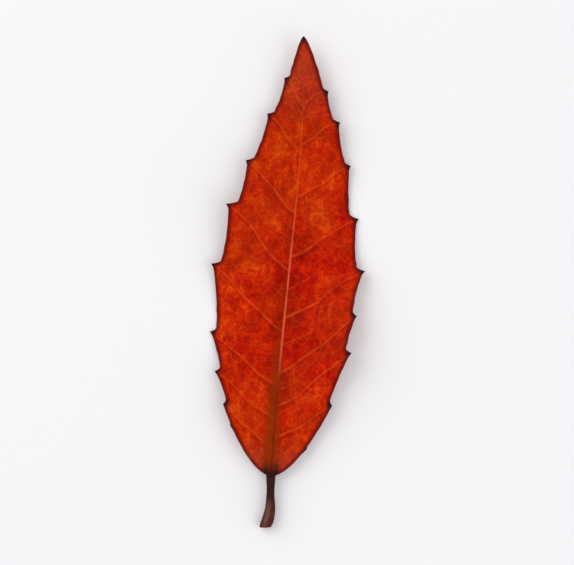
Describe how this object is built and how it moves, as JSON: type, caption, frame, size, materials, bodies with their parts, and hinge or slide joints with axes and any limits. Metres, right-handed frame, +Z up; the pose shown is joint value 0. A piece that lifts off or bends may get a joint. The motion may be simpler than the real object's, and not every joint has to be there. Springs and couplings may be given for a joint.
{
  "type": "autumn leaf",
  "caption": "Fallen lance-shaped autumn leaf with a toothed edge, a midrib with side veins and a short stalk, lying with its upper face up.",
  "frame": {"origin": "under the middle of the leaf's bounding box, on the surface that it lies on", "axes": "+Y from the cut end of the stalk towards the tip, +Z up out of the upper face, +X to the right of the leaf"},
  "size_m": [0.0278, 0.0886, 0.0044],
  "materials": {
    "leaf": "satin, red to orange, with a darker margin and stalk"
  },
  "bodies": {
    "root": {"leaf": "leaf"}
  },
  "joints": []
}
